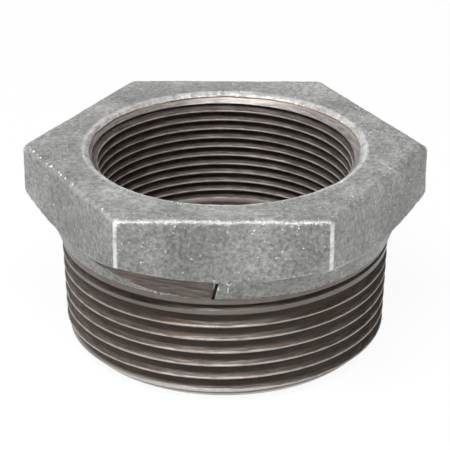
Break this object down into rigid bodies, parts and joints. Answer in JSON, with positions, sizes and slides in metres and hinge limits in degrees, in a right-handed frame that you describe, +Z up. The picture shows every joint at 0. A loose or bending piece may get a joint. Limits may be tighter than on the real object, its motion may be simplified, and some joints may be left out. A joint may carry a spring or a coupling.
{
  "type": "hex bushing",
  "caption": "Galvanised iron hex reducing bushing: a hex head over a tapered male pipe thread, with a smaller tapered female pipe thread inside.",
  "frame": {"origin": "on the thread axis, in the plane of the threaded end face that the bushing stands on", "axes": "+Z goes up the thread axis, out through the hex head's mouth. +X goes through a corner of the hex, and -Y is square to the flat at the front."},
  "size_m": [0.0884, 0.077, 0.0445],
  "materials": {
    "galvanised_iron": "hot-dip galvanised casting, with its threads cut bare"
  },
  "bodies": {
    "root": {"hex_bushing": "galvanised_iron"}
  },
  "joints": []
}
